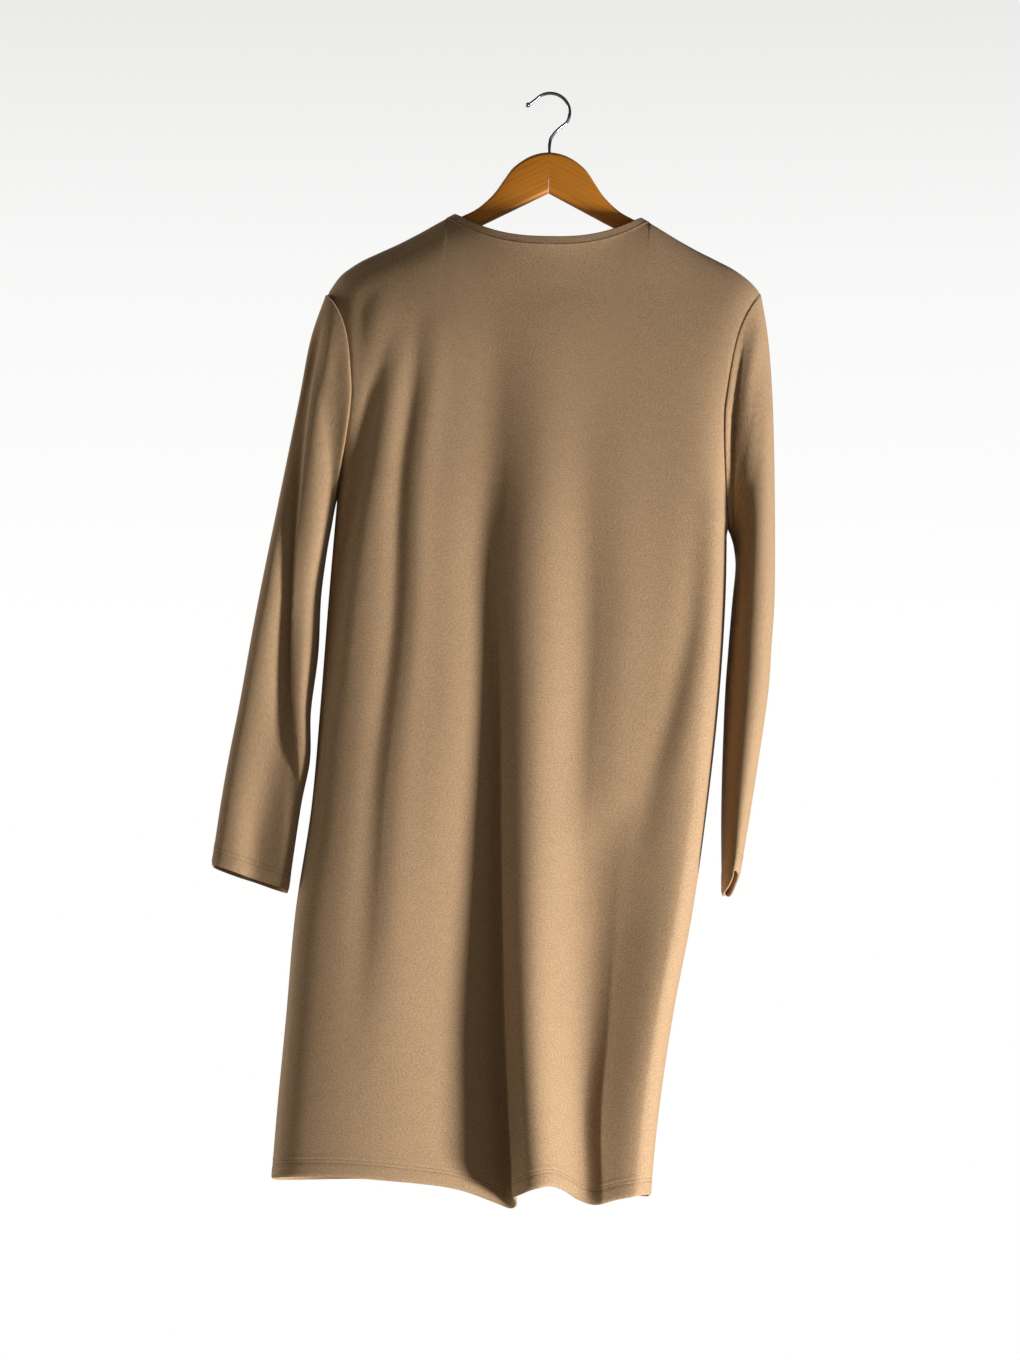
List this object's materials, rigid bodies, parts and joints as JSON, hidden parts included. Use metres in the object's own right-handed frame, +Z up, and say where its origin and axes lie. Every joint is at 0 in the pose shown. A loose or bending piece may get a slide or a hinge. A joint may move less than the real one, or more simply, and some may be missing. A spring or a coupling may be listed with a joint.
{
  "type": "tunic top on a clothes hanger",
  "caption": "Long plain knitted tunic top with long slim sleeves and a wide scooped neck, hanging open and hollow from a slim wooden clothes hanger with a bent wire hook.",
  "frame": {"origin": "inside top of the hook's crown, where a rod carries the hanger", "axes": "+Z up, +Y from the garment's back towards its front, +X towards the wearer's right sleeve"},
  "size_m": [0.54, 0.1252, 1.0854],
  "materials": {
    "cloth": "fine matt double knit, plain tan",
    "wood": "satin orange-brown varnish",
    "chrome": "bright plating"
  },
  "bodies": {
    "root": {"back_panel": "cloth", "front_panel": "cloth", "sleeve_left": "cloth", "sleeve_right": "cloth", "neck_band": "cloth", "hanger_arm_left": "wood", "hanger_arm_right": "wood", "hanger_hook": "chrome"}
  },
  "joints": []
}
